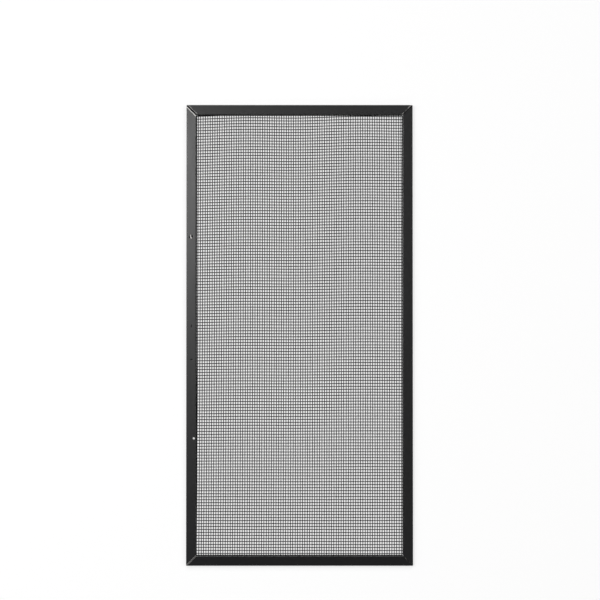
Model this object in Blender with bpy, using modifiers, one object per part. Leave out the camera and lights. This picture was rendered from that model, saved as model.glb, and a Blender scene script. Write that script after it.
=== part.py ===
"""A mesh lid for a reptile cage: black wire cloth held in a frame of mitred steel rails.

Lengths are in metres. The lid lies flat, +Z is up, +Y runs along the lid to its back end,
and the origin is the middle of the underside. Each rail is a strip of sheet steel rolled
into a channel. The cloth goes into the channel through the slot between its two lips.
"""

import math

import bmesh
import bpy
from mathutils import Matrix, Vector

# Driving dimensions of the frame
LID_LENGTH = 0.610
LID_WIDTH = 0.300
RAIL_WIDTH = 0.0138
RAIL_HEIGHT = 0.008
FACE_FALL = 0.0005
RAIL_SHEET = 0.0006
BEND_RADIUS = 0.0005
BEND_STEPS = 4
CLEARANCE = 0.0003

# The upper face of a rail is narrower than the lower one, which shows as a dark ledge
LEDGE = 0.0008

# How far the mitres stand open, measured square to the cut. Two of them are wider in the
# rails' faces, while the outer walls and the inner lips still meet.
MITRE_GAP = 0.0004
WIDE_MITRES = {
    "back_left": 0.0024,
    "back_right": 0.0016,
}
BINDING_GAP = 0.0005

# The wire cloth, as a net with its real thickness and weight but coarser gaps. The wire is
# 0.8 mm steel under a thick coat of paint.
WIRE = 0.0011
CLOTH_THICKNESS = 2 * WIRE
CLOTH_INSET = 0.0059
NET_GAPS_ACROSS = 12
NET_GAPS_ALONG = 25
NET_BAR = 0.0019

# The strip folded round the edge of the cloth, and the folded key inside each corner
BINDING_SHEET = 0.0003
BINDING_BEND = 0.0006
KEY_SHEET = 0.0006
KEY_ARM = 0.030
KEY_EDGE_ROUNDING = 0.0002

# The round hole that is punched through the left rail
HANG_HOLE_RADIUS = 0.0016
HANG_HOLE_INSET = 0.00995
HANG_HOLE_ALONG = -0.137
HANG_HOLE_SIDES = 24

# Heights and insets that follow from the dimensions above
CLOTH_MIDDLE = RAIL_HEIGHT / 2
SLOT_HALF = CLOTH_THICKNESS / 2 + CLEARANCE
KEY_TOP = RAIL_HEIGHT - FACE_FALL - RAIL_SHEET - CLEARANCE
KEY_BOTTOM = RAIL_SHEET + CLEARANCE
KEY_OUTSIDE = RAIL_SHEET + CLEARANCE
KEY_INSIDE = RAIL_WIDTH - LEDGE - RAIL_SHEET - CLEARANCE

# Each side: where its outer face stands, its turn in degrees and its length. Its own X axis
# points into the lid.
SIDES = {
    "left": ((-LID_WIDTH / 2, 0), 0, LID_LENGTH),
    "right": ((LID_WIDTH / 2, 0), 180, LID_LENGTH),
    "back": ((0, LID_LENGTH / 2), -90, LID_WIDTH),
    "front": ((0, -LID_LENGTH / 2), 90, LID_WIDTH),
}

# Each corner: its place, and the turn that brings a key's two arms along its two rails
CORNERS = {
    "front_left": ((-LID_WIDTH / 2, -LID_LENGTH / 2), 0),
    "front_right": ((LID_WIDTH / 2, -LID_LENGTH / 2), 90),
    "back_right": ((LID_WIDTH / 2, LID_LENGTH / 2), 180),
    "back_left": ((-LID_WIDTH / 2, LID_LENGTH / 2), -90),
}


def new_collection(name):
    """A collection of its own in the scene."""
    collection = bpy.data.collections.new(name)
    bpy.context.scene.collection.children.link(collection)
    return collection


def new_material(name, colour, roughness, metallic):
    """A plain surface: colour, roughness and how metallic it is."""
    material = bpy.data.materials.new(name)
    material.use_nodes = True
    surface = material.node_tree.nodes["Principled BSDF"]
    surface.inputs["Base Color"].default_value = (*colour, 1)
    surface.inputs["Roughness"].default_value = roughness
    surface.inputs["Metallic"].default_value = metallic
    material.diffuse_color = (*colour, 1)
    return material


def new_object(name, mesh_tool, collection, material, place=(0, 0), turn=0):
    """An object from a bmesh, turned about Z and set down at a place on the ground."""
    mesh = bpy.data.meshes.new(name)
    mesh_tool.to_mesh(mesh)
    mesh_tool.free()
    mesh.materials.append(material)
    obj = bpy.data.objects.new(name, mesh)
    obj.location = (*place, 0)
    obj.rotation_euler = (0, 0, math.radians(turn))
    collection.objects.link(obj)
    return obj


def rounded_path(corners, radius):
    """Stations along an open path whose corners are arcs: points with their left normals."""
    points = [Vector(corner) for corner in corners]
    first = (points[1] - points[0]).normalized()
    last = (points[-1] - points[-2]).normalized()
    stations = [(points[0], Vector((-first.y, first.x)))]
    for before, corner, after in zip(points, points[1:], points[2:]):
        arriving = (corner - before).normalized()
        leaving = (after - corner).normalized()
        left = Vector((-arriving.y, arriving.x))
        turn = math.atan2(left.dot(leaving), arriving.dot(leaving))
        side = math.copysign(1, turn)
        start = corner - arriving * radius * math.tan(abs(turn) / 2)
        centre = start + left * side * radius
        for step in range(BEND_STEPS + 1):
            normal = Matrix.Rotation(turn * step / BEND_STEPS, 2) @ left
            stations.append((centre - normal * side * radius, normal))
    stations.append((points[-1], Vector((-last.y, last.x))))
    return stations


def strip_outline(corners, radius, sheet):
    """The closed section of a sheet of metal bent along a path."""
    stations = rounded_path(corners, radius)
    one_side = [point + normal * sheet / 2 for point, normal in stations]
    other_side = [point - normal * sheet / 2 for point, normal in reversed(stations)]
    return one_side + other_side


def rail_outline():
    """The rail's channel, from its lower lip round to its upper one."""
    half = RAIL_SHEET / 2
    inner = RAIL_WIDTH - half
    path = [
        (inner, CLOTH_MIDDLE - SLOT_HALF),
        (inner, half),
        (half, half),
        (half, RAIL_HEIGHT - FACE_FALL - half),
        (inner - LEDGE, RAIL_HEIGHT - half),
        (inner - LEDGE, CLOTH_MIDDLE + SLOT_HALF),
    ]
    return strip_outline(path, BEND_RADIUS, RAIL_SHEET)


def binding_outline():
    """The strip folded round the edge of the cloth, wider than the slot that it hides behind."""
    half = BINDING_SHEET / 2
    fold = CLOTH_INSET - CLEARANCE - half
    tip = RAIL_WIDTH - RAIL_SHEET - CLEARANCE
    low = CLOTH_MIDDLE - SLOT_HALF - half
    high = CLOTH_MIDDLE + SLOT_HALF + half
    path = [(tip, low), (fold, low), (fold, high), (tip - LEDGE, high)]
    return strip_outline(path, BINDING_BEND, BINDING_SHEET)


def mitred_strip(outline, length, gap):
    """Sweep an outline along Y between two corners of the lid, and mitre both ends."""
    strip = bmesh.new()
    corners = [strip.verts.new((point.x, -length / 2, point.y)) for point in outline]
    section = strip.faces.new(corners)
    swept = bmesh.ops.extrude_face_region(strip, geom=[section])
    moved = [item for item in swept["geom"] if isinstance(item, bmesh.types.BMVert)]
    bmesh.ops.translate(strip, verts=moved, vec=(0, length, 0))
    for end in (-1, 1):
        outwards = Vector((1, end, 0)).normalized()
        corner = Vector((0, end * length / 2, 0))
        cut = bmesh.ops.bisect_plane(
            strip,
            geom=strip.verts[:] + strip.edges[:] + strip.faces[:],
            plane_co=corner - outwards * gap / 2,
            plane_no=outwards,
            clear_outer=True,
        )
        rim = [item for item in cut["geom_cut"] if isinstance(item, bmesh.types.BMEdge)]
        bmesh.ops.edgeloop_fill(strip, edges=rim)
    bmesh.ops.recalc_face_normals(strip, faces=strip.faces)
    return strip


def shade_bends(obj):
    """Shade the bends smooth and keep every sharper edge."""
    obj.data.shade_smooth()
    obj.data.set_sharp_from_angle(angle=math.radians(35))


def make_rails(collection, material):
    """The four rolled channels of the frame."""
    outline = rail_outline()
    for side, (place, turn, length) in SIDES.items():
        strip = mitred_strip(outline, length, MITRE_GAP)
        rail = new_object("rail_" + side, strip, collection, material, place, turn)
        shade_bends(rail)


def make_bindings(collection, material):
    """The four folded strips that stop the cloth from pulling out of the rails."""
    outline = binding_outline()
    for side, (place, turn, length) in SIDES.items():
        strip = mitred_strip(outline, length, BINDING_GAP)
        name = "edge_binding_" + side
        binding = new_object(name, strip, collection, material, place, turn)
        shade_bends(binding)


def make_corner_keys(collection, material):
    """The folded plates that join the rails: an L under the upper faces, with a turned edge."""
    for corner, (place, turn) in CORNERS.items():
        plate = bmesh.new()
        outline = [
            (KEY_OUTSIDE, KEY_OUTSIDE),
            (KEY_ARM, KEY_OUTSIDE),
            (KEY_ARM, KEY_INSIDE),
            (KEY_INSIDE, KEY_INSIDE),
            (KEY_INSIDE, KEY_ARM),
            (KEY_OUTSIDE, KEY_ARM),
        ]
        points = [plate.verts.new((x, y, KEY_TOP)) for x, y in outline]
        face = plate.faces.new(points)
        outer_edges = [edge for edge in face.edges if points[0] in edge.verts]
        folded = bmesh.ops.extrude_edge_only(plate, edges=outer_edges)
        moved = [item for item in folded["geom"] if isinstance(item, bmesh.types.BMVert)]
        bmesh.ops.translate(plate, verts=moved, vec=(0, 0, KEY_BOTTOM - KEY_TOP))
        bmesh.ops.recalc_face_normals(plate, faces=plate.faces)
        key = new_object("corner_key_" + corner, plate, collection, material, place, turn)
        wall = key.modifiers.new("sheet", "SOLIDIFY")
        wall.thickness = KEY_SHEET
        wall.offset = -1
        wall.use_even_offset = True
        rounding = key.modifiers.new("rounded edges", "BEVEL")
        rounding.width = KEY_EDGE_ROUNDING
        rounding.segments = 1
        rounding.limit_method = "ANGLE"


def net_line(index, pitch, size):
    """Where a line of the net's grid lies: the two sides of each bar, one after the other."""
    return index // 2 * pitch + index % 2 * NET_BAR - size / 2


def make_wire_mesh(collection, material):
    """The cloth: a grid of bars with the gaps taken out, as thick as two crossing wires."""
    across = LID_WIDTH - 2 * CLOTH_INSET
    along = LID_LENGTH - 2 * CLOTH_INSET
    columns = 2 * NET_GAPS_ACROSS + 1
    rows = 2 * NET_GAPS_ALONG + 1
    net = bmesh.new()
    bmesh.ops.create_grid(net, x_segments=columns, y_segments=rows, size=0.5)
    gaps = []
    for face in net.faces:
        middle = face.calc_center_median()
        column = int((middle.x + 0.5) * columns)
        row = int((middle.y + 0.5) * rows)
        if column % 2 == 1 and row % 2 == 1:
            gaps.append(face)
    bmesh.ops.delete(net, geom=gaps, context="FACES")
    for corner in net.verts:
        column = round((corner.co.x + 0.5) * columns)
        row = round((corner.co.y + 0.5) * rows)
        corner.co.x = net_line(column, (across - NET_BAR) / NET_GAPS_ACROSS, across)
        corner.co.y = net_line(row, (along - NET_BAR) / NET_GAPS_ALONG, along)
        corner.co.z = CLOTH_MIDDLE
    cloth = new_object("wire_mesh", net, collection, material)
    wall = cloth.modifiers.new("thickness", "SOLIDIFY")
    wall.thickness = CLOTH_THICKNESS
    wall.offset = 0


def cut_out(name, mesh_tool, collection, pieces):
    """Take a hidden solid out of the pieces that it goes through."""
    mesh = bpy.data.meshes.new(name)
    mesh_tool.to_mesh(mesh)
    mesh_tool.free()
    cutter = bpy.data.objects.new(name, mesh)
    cutter.hide_render = True
    cutter.display_type = "WIRE"
    collection.objects.link(cutter)
    for piece in pieces:
        cut = bpy.data.objects[piece].modifiers.new(name, "BOOLEAN")
        cut.object = cutter


def punch_hang_hole(cutters):
    """Punch the small round hole through the left rail and the binding inside it."""
    place = (HANG_HOLE_INSET - LID_WIDTH / 2, HANG_HOLE_ALONG, CLOTH_MIDDLE)
    punch = bmesh.new()
    bmesh.ops.create_cone(
        punch,
        cap_ends=True,
        segments=HANG_HOLE_SIDES,
        radius1=HANG_HOLE_RADIUS,
        radius2=HANG_HOLE_RADIUS,
        depth=2 * RAIL_HEIGHT,
        matrix=Matrix.Translation(place),
    )
    cut_out("hang_hole_punch", punch, cutters, ("rail_left", "edge_binding_left"))


def widen_mitres(cutters):
    """Open two mitres further in the rails' faces, as far as the keys inside them reach."""
    for corner, width in WIDE_MITRES.items():
        place, turn = CORNERS[corner]
        run = width * math.sqrt(0.5)
        outline = [
            (KEY_OUTSIDE, KEY_OUTSIDE),
            (KEY_OUTSIDE + run, KEY_OUTSIDE),
            (KEY_INSIDE, KEY_INSIDE - run),
            (KEY_INSIDE, KEY_INSIDE),
            (KEY_INSIDE - run, KEY_INSIDE),
            (KEY_OUTSIDE, KEY_OUTSIDE + run),
        ]
        slit = bmesh.new()
        floor = slit.faces.new([slit.verts.new((x, y, -RAIL_HEIGHT)) for x, y in outline])
        raised = bmesh.ops.extrude_face_region(slit, geom=[floor])
        moved = [item for item in raised["geom"] if isinstance(item, bmesh.types.BMVert)]
        bmesh.ops.translate(slit, verts=moved, vec=(0, 0, 3 * RAIL_HEIGHT))
        bmesh.ops.recalc_face_normals(slit, faces=slit.faces)
        slit.transform(Matrix.Translation((*place, 0)) @ Matrix.Rotation(math.radians(turn), 4, "Z"))
        end, side = corner.split("_")
        cut_out("wide_mitre_" + corner, slit, cutters, ("rail_" + end, "rail_" + side))


def main():
    for obj in list(bpy.data.objects):
        bpy.data.objects.remove(obj)
    parts = new_collection("mesh_lid")
    cutters = new_collection("cutters")
    rail_paint = new_material("black rail paint", (0.022, 0.022, 0.024), 0.38, 0)
    wire_paint = new_material("black wire paint", (0.016, 0.016, 0.017), 0.45, 0)
    plain_steel = new_material("plain steel strip", (0.30, 0.30, 0.31), 0.45, 1)
    key_paint = new_material("black key paint", (0.030, 0.030, 0.032), 0.5, 0)
    make_rails(parts, rail_paint)
    make_bindings(parts, plain_steel)
    make_corner_keys(parts, key_paint)
    make_wire_mesh(parts, wire_paint)
    widen_mitres(cutters)
    punch_hang_hole(cutters)


main()
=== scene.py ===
"""The looks of a mesh lid for a reptile cage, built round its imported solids.

Lengths are in metres, in the frame of the solids: the lid lies flat, +Z is up, +Y runs along
the lid to its back end, and the origin is the middle of the underside.
"""

import math

import bmesh
import bpy
from mathutils import Matrix, Vector, noise


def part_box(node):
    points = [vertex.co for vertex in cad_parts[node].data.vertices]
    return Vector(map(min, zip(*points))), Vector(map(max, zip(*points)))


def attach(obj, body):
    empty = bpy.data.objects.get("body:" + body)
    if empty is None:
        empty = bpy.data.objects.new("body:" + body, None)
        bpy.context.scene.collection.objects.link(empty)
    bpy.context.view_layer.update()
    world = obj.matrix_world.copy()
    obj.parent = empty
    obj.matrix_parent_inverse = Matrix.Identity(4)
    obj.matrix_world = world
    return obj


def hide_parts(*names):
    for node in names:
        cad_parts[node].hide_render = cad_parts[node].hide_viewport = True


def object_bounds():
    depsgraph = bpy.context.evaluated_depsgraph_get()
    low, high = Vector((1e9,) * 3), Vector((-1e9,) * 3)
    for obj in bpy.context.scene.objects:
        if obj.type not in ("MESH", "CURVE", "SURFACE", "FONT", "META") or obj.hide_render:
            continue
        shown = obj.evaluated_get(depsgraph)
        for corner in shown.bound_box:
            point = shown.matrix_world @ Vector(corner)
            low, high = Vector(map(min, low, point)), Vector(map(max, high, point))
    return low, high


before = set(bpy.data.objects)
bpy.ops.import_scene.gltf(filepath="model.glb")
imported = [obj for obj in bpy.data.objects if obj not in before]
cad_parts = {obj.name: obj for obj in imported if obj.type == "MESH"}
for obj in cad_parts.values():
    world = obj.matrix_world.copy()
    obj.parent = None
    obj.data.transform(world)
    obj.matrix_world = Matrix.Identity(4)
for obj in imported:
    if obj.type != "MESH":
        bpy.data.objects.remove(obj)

# The lid's outline, its rails and its cloth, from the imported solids. The cloth is as thick as
# two wires.
CAD_LOW, CAD_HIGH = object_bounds()
HALF_WIDTH = CAD_HIGH.x
HALF_LENGTH = CAD_HIGH.y
RAIL_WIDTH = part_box("rail_left")[1].x + HALF_WIDTH
CLOTH_LOW, CLOTH_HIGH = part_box("wire_mesh")
CLOTH_MIDDLE = (CLOTH_LOW.z + CLOTH_HIGH.z) / 2
WIRE = (CLOTH_HIGH.z - CLOTH_LOW.z) / 2

# The rail's section, as the solids have it, but with rounder bends. Its upper face falls
# outwards, and is narrower than the lower one by the ledge.
RAIL_HEIGHT = 0.008
FACE_FALL = 0.0005
LEDGE = 0.0008
RAIL_SHEET = 0.0006
BEND_RADIUS = 0.0005
BEND_STEPS = 8
CLOTH_CLEARANCE = 0.0003
SLOT_HALF = WIRE + CLOTH_CLEARANCE
SLOT_TOP = CLOTH_MIDDLE + SLOT_HALF

# How finely a rail is divided: on its upper face, elsewhere round its section, along it, and
# along it near a dent
FACE_STEP = 0.0003
WALL_STEP = 0.0015
RAIL_STEP = 0.0050
DENT_STEP = 0.0003

# The sheet's cut edges are rounded a little, and its bends are left alone
EDGE_ROUNDING = 0.00012
EDGE_STEPS = 2
SHARPEST_BEND = math.radians(35)

# Slow waves left in the sheet by the rolling mill
WAVE_HEIGHT = 0.00004
WAVE_LENGTH = 0.045

# Small dents in the left rail, with dull grime in them: place, half size across and along
DENTS = [
    (Vector((-0.14555, 0.12930, 0)), 0.0008, 0.0020),
    (Vector((-0.14195, 0.13050, 0)), 0.0009, 0.0014),
    (Vector((-0.14315, 0.01180, 0)), 0.0006, 0.0024),
    (Vector((-0.14290, -0.03257, 0)), 0.0020, 0.0006),
]
DENT_DEPTH = 0.00020

# How much the outline of a small mark comes and goes, as a share of its size
MARK_SWING = 1.2

# Bare scratches between the dents: place, half size across and along
SCRATCHES = [
    (Vector((-0.14440, 0.13030, 0)), 0.0003, 0.0026),
    (Vector((-0.14345, 0.12850, 0)), 0.0004, 0.0010),
]

# How far each mitre stands open. Outer walls and inner lips meet, even at a wide one.
MITRE_GAP = 0.0004
MITRE_GAPS = {
    "back_left": 0.0024,
    "back_right": 0.0016,
    "front_left": MITRE_GAP,
    "front_right": MITRE_GAP,
}
SLIT_INSET = 0.0009
MITRE_COSINE = math.sqrt(0.5)

# How wide a band of bare metal shows along a mitre's two cut edges: on the rail at the lid's side,
# then on the rail at its end. The bands are partly worn paint and partly painted highlight on the cut
# edges, broadest at the back left corner, towards the key lamp.
MITRE_WEAR_AND_GLINT = {
    "back_left": (0.0010, 0.0006),
    "back_right": (0.0, 0.0007),
    "front_left": (0.0006, 0.0006),
    "front_right": (0.0003, 0.0003),
}

# The band's edge is ragged. The band narrows and ends where the noise along it falls from the
# second of these values to the first.
RAGGEDNESS = 0.0002
WEAR_AND_GLINT_FADE = (0.2, 0.55)

# The finishes: the two linear colours and the two roughnesses that each runs between, and how
# strongly it shines, where 0.5 is a plain gloss paint
RAIL_BLACKS = ((0.0035, 0.0035, 0.004), (0.0055, 0.0055, 0.006))
RAIL_ROUGHNESS = (0.29, 0.36)
RAIL_SHINE = 0.5
DULL_SHINE = 0.1
# Bare steel in the scratches, and along the mitres, where it is partly worn paint and partly painted
# highlight on the cut edges
BARE_STEEL_AND_GLINT = (0.38, 0.37, 0.36)
BARE_AND_GLINT_ROUGHNESS = 0.45
WIRE_BLACKS = ((0.005, 0.005, 0.006), (0.011, 0.011, 0.012))
WIRE_ROUGHNESS = (0.42, 0.55)
WIRE_SHINE = 0.3
STRIP_GREYS = ((0.24, 0.24, 0.25), (0.36, 0.36, 0.37))
STRIP_ROUGHNESS = (0.38, 0.52)
CORNER_KEY_BLACKS = ((0.004, 0.004, 0.005), (0.009, 0.009, 0.010))
CORNER_KEY_ROUGHNESS = (0.55, 0.7)
CORNER_KEY_SHINE = 0.2

# The sizes of the blotches, grain, lines and bare patches in them; the bare patches along the mitres
# are partly painted highlight
RAIL_BLOTCH = 0.030
RAIL_GRAIN = 0.0015
WEAR_AND_GLINT_PATCH = 0.007
WEAR_AND_GLINT_RAG = 0.0008
MARK_RAG = 0.0006
WIRE_BLOTCH = 0.006
STRIP_LINE = 0.0006
STRIP_STRETCH = (1, 0.05, 1)
CORNER_KEY_MOTTLE = 0.004
GRAIN_HEIGHT = 0.00002
GRAIN_STRENGTH = 0.25

# Most of the noise lies between these two values
NOISE_LOW = 0.3
NOISE_HIGH = 0.7

# How far in from a rail's inner edge the paint on its lower half is dull
DULL_DEPTH = 3 * LEDGE

# The round hole that is punched through the left rail
HOLE_PLACE = Vector((-0.14005, -0.137, 0))
HOLE_RADIUS = 0.0016
HOLE_SIDES = 48

# The woven cloth: where its middle wires lie, and the distances between wires
LONG_WIRE_START = 0.00127
LONG_WIRE_PITCH = 0.00318
CROSS_WIRE_START = 0.00172
CROSS_WIRE_PITCH = 0.003904
WIRE_SIDES = 6
STEPS_PER_CROSSING = 4
LONG_WIRES_EACH_SIDE = 45
CROSS_WIRES_EACH_SIDE = 78
CLOTH_PIECES_EACH_WAY = 4

# How far the wires stray from a true grid, as (reach, power across, power along)
LONG_WIRE_STRAY = [
    (0.00048, 0, 1),
    (-0.00065, 1, 1),
    (-0.00041, 0, 2),
    (0.00036, 2, 0),
]
CROSS_WIRE_STRAY = [
    (0.00085, 1, 0),
    (0.00105, 1, 1),
    (-0.00223, 0, 2),
]

# The cross wires also ripple twice across the lid, most at its back end
RIPPLE_REACH = -0.00028
RIPPLE_GROWTH = -0.00038

# Every wire wanders a little by chance
WANDER_REACH = 0.0004
WANDER_LENGTH = 0.06

# The camera: its place, its tilt from straight down, its lens and how far it sees
CAMERA_PLACE = (0.00056, 0.00767, 2.3)
CAMERA_TILT = math.radians(0.962)
CAMERA_LENS = 103.90
CAMERA_REACH = 100.0

# The lamps: where each stands, and its share of a white surface's light. A sun has a bearing
# from the back of the lid, turning right, and a height, in degrees.
KEY_LAMP_PLACE = Vector((-0.90, 0.48, 2.3))
KEY_LAMP_SIZE = 0.3
KEY_LAMP_SHARE = 0.33
SKY_SHARE = 0.055
SUN_SPREAD = math.radians(25)
SUNS = {
    "left": (-90, 45, 0.11),
    "right": (80, 55, 0.22),
    "back": (0, 50, 0.22),
    "front": (180, 42, 0.065),
}

# The floor: half its size, and its own grey, to which a glow adds white for the camera and in
# reflections
FLOOR_HALF = 30.0
FLOOR_COLOUR = 0.33

# Each side: where its outer face stands, its turn in degrees and its length. Its own X axis
# points into the lid.
SIDES = {
    "left": ((-HALF_WIDTH, 0), 0, 2 * HALF_LENGTH),
    "right": ((HALF_WIDTH, 0), 180, 2 * HALF_LENGTH),
    "back": ((0, HALF_LENGTH), -90, 2 * HALF_WIDTH),
    "front": ((0, -HALF_LENGTH), 90, 2 * HALF_WIDTH),
}

# The corners whose mitres are wide: their places, and the turns that bring X and Y along
# their two rails
WIDE_CORNERS = {
    "back_left": ((-HALF_WIDTH, HALF_LENGTH), -90),
    "back_right": ((HALF_WIDTH, HALF_LENGTH), 180),
}


def link_object(name, data):
    """A new object in the scene, at the origin."""
    obj = bpy.data.objects.new(name, data)
    bpy.context.scene.collection.objects.link(obj)
    return obj


class NodeTree:
    """Short words for building a node tree: a node is added and fed in one line."""

    def __init__(self, tree):
        self.tree = tree

    def add(self, kind, inputs=None, **settings):
        """Add a node, set it, and feed its inputs from sockets or plain values."""
        node = self.tree.nodes.new(kind)
        for setting, value in settings.items():
            setattr(node, setting, value)
        for socket, value in (inputs or {}).items():
            self.feed(node.inputs[socket], value)
        return node

    def feed(self, socket, value):
        """Join a socket to another one, or give it a plain value."""
        if isinstance(value, bpy.types.NodeSocket):
            self.tree.links.new(value, socket)
        else:
            socket.default_value = value

    def math(self, operation, *values):
        """The result of a sum, product or other operation on numbers."""
        return self.add("ShaderNodeMath", dict(enumerate(values)), operation=operation).outputs[0]

    def total(self, values):
        """Several numbers added up."""
        result = values[0]
        for value in values[1:]:
            result = self.math("ADD", result, value)
        return result

    def span(self, value, low, high, start=0.0, end=1.0):
        """A number carried smoothly from one span to another."""
        inputs = {"Value": value, "From Min": low, "From Max": high, "To Min": start, "To Max": end}
        node = self.add("ShaderNodeMapRange", inputs, interpolation_type="SMOOTHSTEP")
        return node.outputs["Result"]


# Materials


def new_surface(name):
    """A material with its node tree and its surface shader."""
    material = bpy.data.materials.new(name)
    material.use_nodes = True
    return material, NodeTree(material.node_tree), material.node_tree.nodes["Principled BSDF"]


def noise_at(tree, place, size, detail=2.0):
    """Soft random values whose blotches are about this size."""
    node = tree.add("ShaderNodeTexNoise", {"Vector": place, "Scale": 1 / size, "Detail": detail})
    return node.outputs["Fac"]


def roughness_between(tree, amount, roughnesses):
    """A roughness that runs from one to another with the noise."""
    return tree.span(amount, NOISE_LOW, NOISE_HIGH, *roughnesses)


def grey_between(tree, amount, dark, light):
    """A colour that runs from a dark one to a light one."""
    node = tree.add("ShaderNodeMix", {0: amount}, data_type="RGBA")
    node.inputs["A"].default_value = (*dark, 1)
    node.inputs["B"].default_value = (*light, 1)
    return node.outputs["Result"]


def insets(tree, axes):
    """How far a place lies in from the lid's sides, and from its ends."""
    from_side = tree.math("SUBTRACT", HALF_WIDTH, tree.math("ABSOLUTE", axes["X"]))
    from_end = tree.math("SUBTRACT", HALF_LENGTH, tree.math("ABSOLUTE", axes["Y"]))
    return from_side, from_end


def mitre_wear_and_glint(tree, place):
    """Where paint is missing along the mitres, partly as wear and partly as painted highlight on the
    cut edges: by the distance to the nearest cut edge.
    """
    axes = tree.add("ShaderNodeSeparateXYZ", {0: place}).outputs
    from_side, from_end = insets(tree, axes)
    apart = tree.math("MULTIPLY", tree.math("SUBTRACT", from_side, from_end), MITRE_COSINE)
    on_end_rail = tree.math("GREATER_THAN", apart, 0.0)
    reaches = []
    gaps = []
    for corner, (side_band, end_band) in MITRE_WEAR_AND_GLINT.items():
        at_end = tree.math("GREATER_THAN" if "back" in corner else "LESS_THAN", axes["Y"], 0.0)
        at_side = tree.math("LESS_THAN" if "left" in corner else "GREATER_THAN", axes["X"], 0.0)
        here = tree.math("MULTIPLY", at_end, at_side)
        band = tree.math("MULTIPLY_ADD", on_end_rail, end_band - side_band, side_band)
        patches = tree.span(noise_at(tree, place, WEAR_AND_GLINT_PATCH), *WEAR_AND_GLINT_FADE)
        band = tree.math("MULTIPLY", band, patches)
        reaches.append(tree.math("MULTIPLY", here, band))
        gaps.append(tree.math("MULTIPLY", here, MITRE_GAPS[corner] / 2))
    ragged = tree.math("MULTIPLY", noise_at(tree, place, WEAR_AND_GLINT_RAG), RAGGEDNESS)
    from_edge = tree.math("SUBTRACT", tree.math("ABSOLUTE", apart), tree.total(gaps))
    on_face = tree.math("GREATER_THAN", from_edge, EDGE_ROUNDING)
    bare = tree.math("LESS_THAN", tree.math("ADD", from_edge, ragged), tree.total(reaches))
    return tree.math("MULTIPLY", bare, on_face)


def small_marks(tree, place, marks):
    """Where a few small oval marks lie on the upper face, with ragged edges."""
    height = tree.add("ShaderNodeSeparateXYZ", {0: place}).outputs["Z"]
    above = tree.math("GREATER_THAN", height, CLOTH_MIDDLE)
    rags = noise_at(tree, place, MARK_RAG)
    ragged = tree.math("MULTIPLY_ADD", rags, MARK_SWING, 1 - MARK_SWING / 2)
    found = []
    for middle, across, along in marks:
        size = (1 / across, 1 / along, 0)
        away = tree.add("ShaderNodeVectorMath", {0: place, 1: middle}, operation="SUBTRACT")
        scaled = tree.add("ShaderNodeVectorMath", {0: away.outputs[0], 1: size}, operation="MULTIPLY")
        length = tree.add("ShaderNodeVectorMath", {0: scaled.outputs[0]}, operation="LENGTH")
        found.append(tree.math("LESS_THAN", length.outputs["Value"], ragged))
    return tree.math("MULTIPLY", tree.total(found), above)


def slot_depths(tree, place):
    """The lower half of a rail along its inner edge: the ledge, and the slot behind it."""
    axes = tree.add("ShaderNodeSeparateXYZ", {0: place}).outputs
    inset = tree.math("MINIMUM", *insets(tree, axes))
    inner = tree.math("GREATER_THAN", inset, RAIL_WIDTH - DULL_DEPTH)
    below = tree.math("LESS_THAN", axes["Z"], CLOTH_MIDDLE)
    return tree.math("MULTIPLY", inner, below)


def rail_paint():
    """Semi-gloss black paint on sheet steel, dull in the slot, and bare along the mitres, where the
    bare bands are partly wear and partly painted highlight.
    """
    material, tree, surface = new_surface("rail_paint")
    place = tree.add("ShaderNodeTexCoord").outputs["Object"]
    # Bare steel in the scratches and along the mitres; along the mitres it is partly painted
    # highlight
    worn_and_glint = tree.math("MAXIMUM", mitre_wear_and_glint(tree, place), small_marks(tree, place, SCRATCHES))
    dull = tree.math("MAXIMUM", small_marks(tree, place, DENTS), slot_depths(tree, place))
    blotches = noise_at(tree, place, RAIL_BLOTCH)
    grain = noise_at(tree, place, RAIL_GRAIN, detail=4.0)
    paint = grey_between(tree, blotches, *RAIL_BLACKS)
    colour = tree.add("ShaderNodeMix", {0: worn_and_glint}, data_type="RGBA")
    tree.feed(colour.inputs["A"], paint)
    colour.inputs["B"].default_value = (*BARE_STEEL_AND_GLINT, 1)
    tree.feed(surface.inputs["Base Color"], colour.outputs["Result"])
    tree.feed(surface.inputs["Metallic"], worn_and_glint)
    roughness = roughness_between(tree, grain, RAIL_ROUGHNESS)
    roughness = tree.math("MAXIMUM", roughness, tree.math("MULTIPLY", worn_and_glint, BARE_AND_GLINT_ROUGHNESS))
    tree.feed(surface.inputs["Roughness"], tree.math("MAXIMUM", roughness, dull))
    shine = tree.math("MULTIPLY_ADD", dull, DULL_SHINE - RAIL_SHINE, RAIL_SHINE)
    tree.feed(surface.inputs["Specular IOR Level"], shine)
    bumps = {"Height": grain, "Strength": GRAIN_STRENGTH, "Distance": GRAIN_HEIGHT}
    tree.feed(surface.inputs["Normal"], tree.add("ShaderNodeBump", bumps).outputs["Normal"])
    return material


def wire_paint():
    """Satin black paint on steel wire, a little thinner in places."""
    material, tree, surface = new_surface("wire_paint")
    place = tree.add("ShaderNodeTexCoord").outputs["Object"]
    blotches = noise_at(tree, place, WIRE_BLOTCH)
    tree.feed(surface.inputs["Base Color"], grey_between(tree, blotches, *WIRE_BLACKS))
    tree.feed(surface.inputs["Roughness"], roughness_between(tree, blotches, WIRE_ROUGHNESS))
    surface.inputs["Specular IOR Level"].default_value = WIRE_SHINE
    return material


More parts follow.
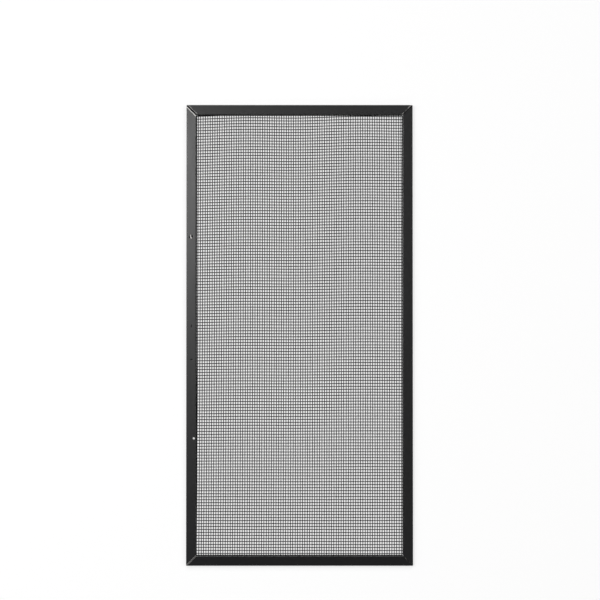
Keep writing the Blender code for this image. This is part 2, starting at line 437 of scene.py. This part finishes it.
def strip_steel():
    """Plain cold-rolled strip with fine drawn lines."""
    material, tree, surface = new_surface("binding_steel")
    place = tree.add("ShaderNodeTexCoord").outputs["Object"]
    stretched = tree.add("ShaderNodeMapping", {"Vector": place, "Scale": STRIP_STRETCH})
    lines = noise_at(tree, stretched.outputs["Vector"], STRIP_LINE)
    tree.feed(surface.inputs["Base Color"], grey_between(tree, lines, *STRIP_GREYS))
    tree.feed(surface.inputs["Roughness"], roughness_between(tree, lines, STRIP_ROUGHNESS))
    surface.inputs["Metallic"].default_value = 1
    return material


def key_paint():
    """Thin, dull black paint on pressed steel."""
    material, tree, surface = new_surface("key_steel")
    place = tree.add("ShaderNodeTexCoord").outputs["Object"]
    mottle = noise_at(tree, place, CORNER_KEY_MOTTLE)
    tree.feed(surface.inputs["Base Color"], grey_between(tree, mottle, *CORNER_KEY_BLACKS))
    tree.feed(surface.inputs["Roughness"], roughness_between(tree, mottle, CORNER_KEY_ROUGHNESS))
    surface.inputs["Specular IOR Level"].default_value = CORNER_KEY_SHINE
    return material


# Rails


def rounded_path(corners, radius):
    """Stations along an open path whose corners are arcs: points with their left normals."""
    points = [Vector(corner) for corner in corners]
    first = (points[1] - points[0]).normalized()
    last = (points[-1] - points[-2]).normalized()
    stations = [(points[0], Vector((-first.y, first.x)))]
    for before, corner, after in zip(points, points[1:], points[2:]):
        arriving = (corner - before).normalized()
        leaving = (after - corner).normalized()
        left = Vector((-arriving.y, arriving.x))
        turn = math.atan2(left.dot(leaving), arriving.dot(leaving))
        side = math.copysign(1, turn)
        start = corner - arriving * radius * math.tan(abs(turn) / 2)
        centre = start + left * side * radius
        for step in range(BEND_STEPS + 1):
            normal = Matrix.Rotation(turn * step / BEND_STEPS, 2) @ left
            stations.append((centre - normal * side * radius, normal))
    stations.append((points[-1], Vector((-last.y, last.x))))
    return stations


def filled_stations(stations):
    """The same stations with more of them along the straight runs."""
    filled = [stations[0]]
    for (start, _), (end, normal) in zip(stations, stations[1:]):
        on_face = min(start.y, end.y) > SLOT_TOP + BEND_RADIUS
        size = FACE_STEP if on_face else WALL_STEP
        steps = max(1, round((end - start).length / size))
        for step in range(1, steps + 1):
            filled.append((start.lerp(end, step / steps), normal))
    return filled


def rail_outline():
    """The closed section of the rail's channel, from its lower lip round to its upper one."""
    half = RAIL_SHEET / 2
    inner = RAIL_WIDTH - half
    path = [
        (inner, CLOTH_MIDDLE - SLOT_HALF),
        (inner, half),
        (half, half),
        (half, RAIL_HEIGHT - FACE_FALL - half),
        (inner - LEDGE, RAIL_HEIGHT - half),
        (inner - LEDGE, SLOT_TOP),
    ]
    stations = filled_stations(rounded_path(path, BEND_RADIUS))
    one_side = [point + normal * half for point, normal in stations]
    other_side = [point - normal * half for point, normal in reversed(stations)]
    return one_side + other_side


def rail_steps(side, length):
    """The lengths of the steps along a rail, which are shorter round the dents."""
    steps = []
    place = -length / 2
    while place < length / 2:
        near = [abs(dent.y - place) < 2 * reach + RAIL_STEP for dent, _, reach in DENTS]
        step = DENT_STEP if side == "left" and any(near) else RAIL_STEP
        step = min(step, length / 2 - place)
        steps.append(step)
        place += step
    return steps


def sweep_outline(outline, length, steps):
    """A closed outline drawn along Y in short steps, without its ends."""
    strip = bmesh.new()
    ring = [strip.verts.new((point.x, -length / 2, point.y)) for point in outline]
    edges = [strip.edges.new(pair) for pair in zip(ring, ring[1:] + ring[:1])]
    for step in steps:
        drawn = bmesh.ops.extrude_edge_only(strip, edges=edges)
        moved = [item for item in drawn["geom"] if isinstance(item, bmesh.types.BMVert)]
        edges = [item for item in drawn["geom"] if isinstance(item, bmesh.types.BMEdge)]
        edges = [edge for edge in edges if all(vert in moved for vert in edge.verts)]
        bmesh.ops.translate(strip, verts=moved, vec=(0, step, 0))
    return strip


def cut_mitres(strip, length):
    """Cut both ends of a strip along their mitres and close them."""
    for end in (-1, 1):
        outwards = Vector((1, end, 0)).normalized()
        corner = Vector((0, end * length / 2, 0))
        cut = bmesh.ops.bisect_plane(
            strip,
            geom=strip.verts[:] + strip.edges[:] + strip.faces[:],
            plane_co=corner - outwards * MITRE_GAP / 2,
            plane_no=outwards,
            clear_outer=True,
        )
        rim = [item for item in cut["geom_cut"] if isinstance(item, bmesh.types.BMEdge)]
        bmesh.ops.edgeloop_fill(strip, edges=rim)


def wave_sheet(strip):
    """Press the mill's slow waves into the rail's upper face, less towards its edges."""
    for corner in strip.verts:
        height = noise.noise(corner.co / WAVE_LENGTH) * WAVE_HEIGHT
        inside = 2 * min(corner.co.x, RAIL_WIDTH - corner.co.x) / RAIL_WIDTH
        if corner.co.z > SLOT_TOP:
            corner.co.z += height * max(0, inside)


def press_dents(strip):
    """Press the small dents into the left rail's upper face, each as deep as a bell curve."""
    for corner in strip.verts:
        if corner.co.z > SLOT_TOP:
            for place, across, along in DENTS:
                x = (corner.co.x - place.x) / across
                y = (corner.co.y - place.y) / along
                corner.co.z -= DENT_DEPTH * math.exp(-2 * (x * x + y * y))


def plain_mesh(obj):
    """Apply an object's modifiers, so that its mesh is what is seen."""
    graph = bpy.context.evaluated_depsgraph_get()
    mesh = bpy.data.meshes.new_from_object(obj.evaluated_get(graph))
    obj.modifiers.clear()
    obj.data = mesh


def round_edges(obj):
    """Round the cut edges of the sheet a little, and keep its flat faces evenly shaded."""
    obj.data.shade_smooth()
    rounding = obj.modifiers.new("rounded edges", "BEVEL")
    rounding.width = EDGE_ROUNDING
    rounding.segments = EDGE_STEPS
    rounding.limit_method = "ANGLE"
    rounding.angle_limit = SHARPEST_BEND
    rounding.harden_normals = True
    plain_mesh(obj)


def cut_out(rail, tool):
    """Take a solid out of a rail."""
    mesh = bpy.data.meshes.new("cutter")
    tool.to_mesh(mesh)
    tool.free()
    cutter = link_object("cutter", mesh)
    cut = rail.modifiers.new("cut", "BOOLEAN")
    cut.object = cutter
    plain_mesh(rail)
    bpy.data.objects.remove(cutter)


def punch_hole(rail):
    """Punch the hanging hole through a rail."""
    punch = bmesh.new()
    bmesh.ops.create_cone(
        punch,
        cap_ends=True,
        segments=HOLE_SIDES,
        radius1=HOLE_RADIUS,
        radius2=HOLE_RADIUS,
        depth=4 * RAIL_HEIGHT,
        matrix=Matrix.Translation(HOLE_PLACE),
    )
    cut_out(rail, punch)


def widen_mitre(rail, corner):
    """Open a mitre further in the rail's faces, between its outer wall and its inner lips."""
    place, turn = WIDE_CORNERS[corner]
    run = MITRE_GAPS[corner] * MITRE_COSINE
    far = RAIL_WIDTH - LEDGE - SLIT_INSET
    outline = [
        (SLIT_INSET, SLIT_INSET),
        (SLIT_INSET + run, SLIT_INSET),
        (far, far - run),
        (far, far),
        (far - run, far),
        (SLIT_INSET, SLIT_INSET + run),
    ]
    slit = bmesh.new()
    floor = slit.faces.new([slit.verts.new((x, y, -RAIL_HEIGHT)) for x, y in outline])
    raised = bmesh.ops.extrude_face_region(slit, geom=[floor])
    moved = [item for item in raised["geom"] if isinstance(item, bmesh.types.BMVert)]
    bmesh.ops.translate(slit, verts=moved, vec=(0, 0, 3 * RAIL_HEIGHT))
    bmesh.ops.recalc_face_normals(slit, faces=slit.faces)
    slit.transform(Matrix.Translation((*place, 0)) @ Matrix.Rotation(math.radians(turn), 4, "Z"))
    cut_out(rail, slit)


def make_rail(side, paint):
    """One rolled channel of the frame, mitred at both ends."""
    place, turn, length = SIDES[side]
    strip = sweep_outline(rail_outline(), length, rail_steps(side, length))
    wave_sheet(strip)
    cut_mitres(strip, length)
    bmesh.ops.recalc_face_normals(strip, faces=strip.faces)
    strip.transform(Matrix.Translation((*place, 0)) @ Matrix.Rotation(math.radians(turn), 4, "Z"))
    if side == "left":
        press_dents(strip)
    mesh = bpy.data.meshes.new("painted_rail_" + side)
    strip.to_mesh(mesh)
    strip.free()
    rail = link_object("painted_rail_" + side, mesh)
    rail.data.materials.append(paint)
    if side == "left":
        punch_hole(rail)
    for corner in WIDE_CORNERS:
        if side in corner:
            widen_mitre(rail, corner)
    round_edges(rail)
    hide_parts("rail_" + side)
    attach(rail, "root")


# Woven cloth

CLOTH_INPUTS = {
    "First Wire": "NodeSocketInt",
    "Wires": "NodeSocketInt",
    "First Crossing": "NodeSocketInt",
    "Crossings": "NodeSocketInt",
    "Runs Along": "NodeSocketBool",
    "Wire Radius": "NodeSocketFloat",
    "Middle Height": "NodeSocketFloat",
    "Half Width": "NodeSocketFloat",
    "Half Length": "NodeSocketFloat",
    "Paint": "NodeSocketMaterial",
}


def choose(tree, test, if_not, if_so):
    """One of two numbers, by a yes or a no."""
    inputs = {"Switch": test, "False": if_not, "True": if_so}
    return tree.add("GeometryNodeSwitch", inputs, input_type="FLOAT").outputs[0]


def stray(tree, terms, across, along):
    """How far a wire strays: a sum of plain powers of its place on the lid."""
    parts = []
    for reach, across_power, along_power in terms:
        part = tree.math("MULTIPLY", tree.math("POWER", across, across_power), reach)
        parts.append(tree.math("MULTIPLY", part, tree.math("POWER", along, along_power)))
    return tree.total(parts)


def wander(tree, count, place):
    """How far a wire wanders by chance: its own amount, which drifts slowly along it."""
    drift = tree.math("DIVIDE", place, WANDER_LENGTH)
    spot = tree.add("ShaderNodeCombineXYZ", {"X": count, "Y": drift}).outputs[0]
    amount = noise_at(tree, spot, 1.0, detail=0.0)
    return tree.math("MULTIPLY_ADD", amount, WANDER_REACH, -WANDER_REACH / 2)


def cloth_tree():
    """The nodes that weave a group of parallel wires over and under the wires that cross them."""
    group = bpy.data.node_groups.new("woven_wires", "GeometryNodeTree")
    group.is_modifier = True
    group.interface.new_socket("Geometry", in_out="OUTPUT", socket_type="NodeSocketGeometry")
    for name, kind in CLOTH_INPUTS.items():
        group.interface.new_socket(name, in_out="INPUT", socket_type=kind)
    tree = NodeTree(group)
    given = tree.add("NodeGroupInput").outputs

    # Straight wires on a plain grid: X counts the wires that are crossed, Y counts the wires
    steps = tree.math("MULTIPLY", given["Crossings"], STEPS_PER_CROSSING)
    first_crossing = tree.add("ShaderNodeCombineXYZ", {"X": given["First Crossing"]})
    wire = tree.add(
        "GeometryNodeMeshLine",
        {
            "Count": steps,
            "Start Location": first_crossing.outputs[0],
            "Offset": (1 / STEPS_PER_CROSSING, 0, 0),
        },
    )
    first_wire = tree.add("ShaderNodeCombineXYZ", {"Y": given["First Wire"]})
    starts = tree.add(
        "GeometryNodeMeshLine",
        {"Count": given["Wires"], "Start Location": first_wire.outputs[0], "Offset": (0, 1, 0)},
    )
    wires = tree.add(
        "GeometryNodeInstanceOnPoints",
        {"Points": starts.outputs["Mesh"], "Instance": wire.outputs["Mesh"]},
    )
    grid = tree.add("GeometryNodeRealizeInstances", {"Geometry": wires.outputs["Instances"]})

    # The place of each point on the lid
    counted = tree.add("ShaderNodeSeparateXYZ", {0: tree.add("GeometryNodeInputPosition").outputs[0]})
    long_count = choose(tree, given["Runs Along"], counted.outputs["X"], counted.outputs["Y"])
    cross_count = choose(tree, given["Runs Along"], counted.outputs["Y"], counted.outputs["X"])
    x = tree.math("MULTIPLY_ADD", long_count, LONG_WIRE_PITCH, LONG_WIRE_START)
    y = tree.math("MULTIPLY_ADD", cross_count, CROSS_WIRE_PITCH, CROSS_WIRE_START)
    across = tree.math("DIVIDE", x, HALF_WIDTH)
    along = tree.math("DIVIDE", y, HALF_LENGTH)
    ripple = tree.math("COSINE", tree.math("MULTIPLY", across, 2 * math.pi))
    ripple_reach = tree.math("MULTIPLY_ADD", along, RIPPLE_GROWTH, RIPPLE_REACH)
    ripple = tree.math("MULTIPLY", ripple, ripple_reach)
    long_wander = wander(tree, long_count, y)
    cross_wander = wander(tree, cross_count, x)
    x = tree.total([x, stray(tree, LONG_WIRE_STRAY, across, along), long_wander])
    y = tree.total([y, stray(tree, CROSS_WIRE_STRAY, across, along), ripple, cross_wander])

    # Over one crossing wire and under the next
    count = tree.math("MULTIPLY", tree.math("ADD", long_count, cross_count), math.pi)
    side = choose(tree, given["Runs Along"], -1.0, 1.0)
    reach = tree.math("MULTIPLY", side, given["Wire Radius"])
    z = tree.math("MULTIPLY_ADD", tree.math("COSINE", count), reach, given["Middle Height"])
    place = tree.add("ShaderNodeCombineXYZ", {"X": x, "Y": y, "Z": z}).outputs[0]
    woven = tree.add(
        "GeometryNodeSetPosition", {"Geometry": grid.outputs["Geometry"], "Position": place}
    )

    # Trim the wires to the cloth's edges, and where the punch went through
    now = tree.add("GeometryNodeInputPosition").outputs[0]
    ends = tree.add("ShaderNodeSeparateXYZ", {0: now}).outputs
    past_side = tree.math("GREATER_THAN", tree.math("ABSOLUTE", ends["X"]), given["Half Width"])
    past_end = tree.math("GREATER_THAN", tree.math("ABSOLUTE", ends["Y"]), given["Half Length"])
    flat = tree.add("ShaderNodeCombineXYZ", {"X": ends["X"], "Y": ends["Y"]}).outputs[0]
    from_hole = tree.add("ShaderNodeVectorMath", {0: flat, 1: HOLE_PLACE}, operation="DISTANCE")
    punched = tree.math("LESS_THAN", from_hole.outputs["Value"], HOLE_RADIUS + WIRE)
    lost = tree.math("MAXIMUM", tree.math("MAXIMUM", past_side, past_end), punched)
    trimmed = tree.add(
        "GeometryNodeDeleteGeometry",
        {"Geometry": woven.outputs["Geometry"], "Selection": lost},
        domain="POINT",
    )

    # Give the wires their thickness
    paths = tree.add("GeometryNodeMeshToCurve", {"Mesh": trimmed.outputs["Geometry"]})
    section = tree.add(
        "GeometryNodeCurvePrimitiveCircle",
        {"Resolution": WIRE_SIDES, "Radius": given["Wire Radius"]},
    )
    solid = tree.add(
        "GeometryNodeCurveToMesh",
        {
            "Curve": paths.outputs["Curve"],
            "Profile Curve": section.outputs["Curve"],
            "Fill Caps": True,
        },
    )
    whole = tree.add("GeometryNodeRealizeInstances", {"Geometry": solid.outputs["Mesh"]})
    painted = tree.add(
        "GeometryNodeSetMaterial",
        {"Geometry": whole.outputs["Geometry"], "Material": given["Paint"]},
    )
    tree.add("NodeGroupOutput", {"Geometry": painted.outputs["Geometry"]})
    return group


def weave(name, group, values):
    """One piece of cloth: a group of wires made by the tree, as a plain mesh."""
    piece = link_object(name, bpy.data.meshes.new(name))
    weaver = piece.modifiers.new("weave", "NODES")
    weaver.node_group = group
    for item in group.interface.items_tree:
        if item.in_out == "INPUT":
            weaver[item.identifier] = values[item.name]
    plain_mesh(piece)
    piece.data.shade_smooth()
    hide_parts("wire_mesh")
    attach(piece, "root")


def make_cloth(paint):
    """The wire cloth, in pieces of some twenty long wires or forty cross wires each."""
    group = cloth_tree()
    ways = [
        ("long_wires_", True, LONG_WIRES_EACH_SIDE, CROSS_WIRES_EACH_SIDE),
        ("cross_wires_", False, CROSS_WIRES_EACH_SIDE, LONG_WIRES_EACH_SIDE),
    ]
    for name, runs_along, wires_each_side, crossings_each_side in ways:
        total = 2 * wires_each_side + 1
        first = -wires_each_side
        for number in range(1, CLOTH_PIECES_EACH_WAY + 1):
            wires = total * number // CLOTH_PIECES_EACH_WAY - (first + wires_each_side)
            values = {
                "First Wire": first,
                "Wires": wires,
                "First Crossing": -crossings_each_side,
                "Crossings": 2 * crossings_each_side + 1,
                "Runs Along": runs_along,
                "Wire Radius": WIRE / 2,
                "Middle Height": CLOTH_MIDDLE,
                "Half Width": CLOTH_HIGH.x - WIRE / 2,
                "Half Length": CLOTH_HIGH.y - WIRE / 2,
                "Paint": paint,
            }
            weave(name + str(number), group, values)
            first += wires


def finish_hidden_steel():
    """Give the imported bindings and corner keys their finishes."""
    binding = strip_steel()
    key = key_paint()
    for name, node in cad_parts.items():
        if name.startswith("edge_binding"):
            node.data.materials.clear()
            node.data.materials.append(binding)
        if name.startswith("corner_key"):
            node.data.materials.clear()
            node.data.materials.append(key)


# The studio


def make_floor():
    """A wide pale floor that keeps the lid's shadow and looks white beside it."""
    bpy.ops.mesh.primitive_plane_add(size=2 * FLOOR_HALF)
    floor = bpy.context.object
    floor.name = "floor"
    material, tree, surface = new_surface("pale_floor")
    surface.inputs["Base Color"].default_value = (FLOOR_COLOUR, FLOOR_COLOUR, FLOOR_COLOUR, 1)
    surface.inputs["Roughness"].default_value = 1
    surface.inputs["Specular IOR Level"].default_value = 0
    surface.inputs["Emission Color"].default_value = (1, 1, 1, 1)
    ray = tree.add("ShaderNodeLightPath").outputs
    seen = tree.total([ray["Is Camera Ray"], ray["Is Glossy Ray"], ray["Is Transmission Ray"]])
    glow = tree.math("MULTIPLY", seen, 1 - FLOOR_COLOUR)
    tree.feed(surface.inputs["Emission Strength"], glow)
    floor.data.materials.append(material)


def make_lamps():
    """A soft key lamp beside the camera, four wide soft lamps round the lid, and a dim sky."""
    key = bpy.data.lights.new("key", "AREA")
    key.size = KEY_LAMP_SIZE
    lamp = link_object("key", key)
    lamp.location = KEY_LAMP_PLACE
    aim = -KEY_LAMP_PLACE
    lamp.rotation_euler = aim.to_track_quat("-Z", "Y").to_euler()

    # The power that gives the lid's middle its share of light, from this far and at this slant
    slant = KEY_LAMP_PLACE.z / KEY_LAMP_PLACE.length
    key.energy = KEY_LAMP_SHARE * (math.pi * KEY_LAMP_PLACE.length) ** 2 / slant
    for name, (bearing, height, share) in SUNS.items():
        sun = bpy.data.lights.new("sun_" + name, "SUN")
        sun.angle = SUN_SPREAD
        sun.energy = share * math.pi / math.sin(math.radians(height))
        lamp = link_object("sun_" + name, sun)
        up_to_sun = Vector((0, math.cos(math.radians(height)), math.sin(math.radians(height))))
        up_to_sun.rotate(Matrix.Rotation(math.radians(-bearing), 3, "Z"))
        lamp.rotation_euler = up_to_sun.to_track_quat("Z", "Y").to_euler()
    world = bpy.data.worlds.new("dim_sky")
    world.use_nodes = True
    sky = world.node_tree.nodes["Background"]
    sky.inputs["Color"].default_value = (1, 1, 1, 1)
    sky.inputs["Strength"].default_value = SKY_SHARE
    bpy.context.scene.world = world


def make_camera():
    """The photograph's view: straight down, with the long side of the lid upright."""
    data = bpy.data.cameras.new("camera")
    data.lens = CAMERA_LENS
    data.clip_end = CAMERA_REACH
    camera = link_object("camera", data)
    camera.location = CAMERA_PLACE
    camera.rotation_euler = (CAMERA_TILT, 0, 0)
    bpy.context.scene.camera = camera
    bpy.context.scene.view_settings.view_transform = "Standard"


make_camera()
make_lamps()
make_floor()
black_paint = rail_paint()
for rail_side in SIDES:
    make_rail(rail_side, black_paint)
make_cloth(wire_paint())
finish_hidden_steel()
